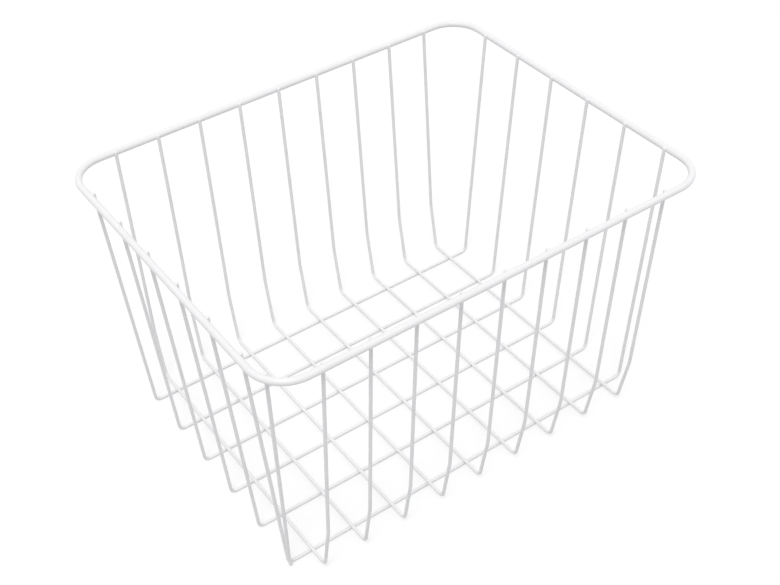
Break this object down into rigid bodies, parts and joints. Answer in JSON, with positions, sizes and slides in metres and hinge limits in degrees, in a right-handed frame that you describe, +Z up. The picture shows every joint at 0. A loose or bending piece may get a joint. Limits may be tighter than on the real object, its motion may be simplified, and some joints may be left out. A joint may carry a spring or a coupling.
{
  "type": "cooler basket",
  "caption": "Open-topped basket of white coated steel wire with a heavier rim, sloping walls and a wire grid base, for lifting food in and out of a cool box.",
  "frame": {"origin": "centre of the footprint, on the surface that the basket stands on", "axes": "+X along the basket, +Y across it, +Z up out of its mouth; the extra corner upright is at -X, -Y"},
  "size_m": [0.4136, 0.3256, 0.25],
  "materials": {
    "rim_coating": "semi-gloss white coating",
    "wire_coating": "semi-gloss white coating"
  },
  "bodies": {
    "root": {"rim": "rim_coating", "cross_wire_1": "wire_coating", "cross_wire_2": "wire_coating", "cross_wire_3": "wire_coating", "cross_wire_4": "wire_coating", "cross_wire_5": "wire_coating", "cross_wire_6": "wire_coating", "cross_wire_7": "wire_coating", "cross_wire_8": "wire_coating", "cross_wire_9": "wire_coating", "length_wire_1": "wire_coating", "length_wire_2": "wire_coating", "length_wire_3": "wire_coating", "length_wire_4": "wire_coating", "length_wire_5": "wire_coating", "length_wire_6": "wire_coating", "corner_upright": "wire_coating"}
  },
  "joints": []
}
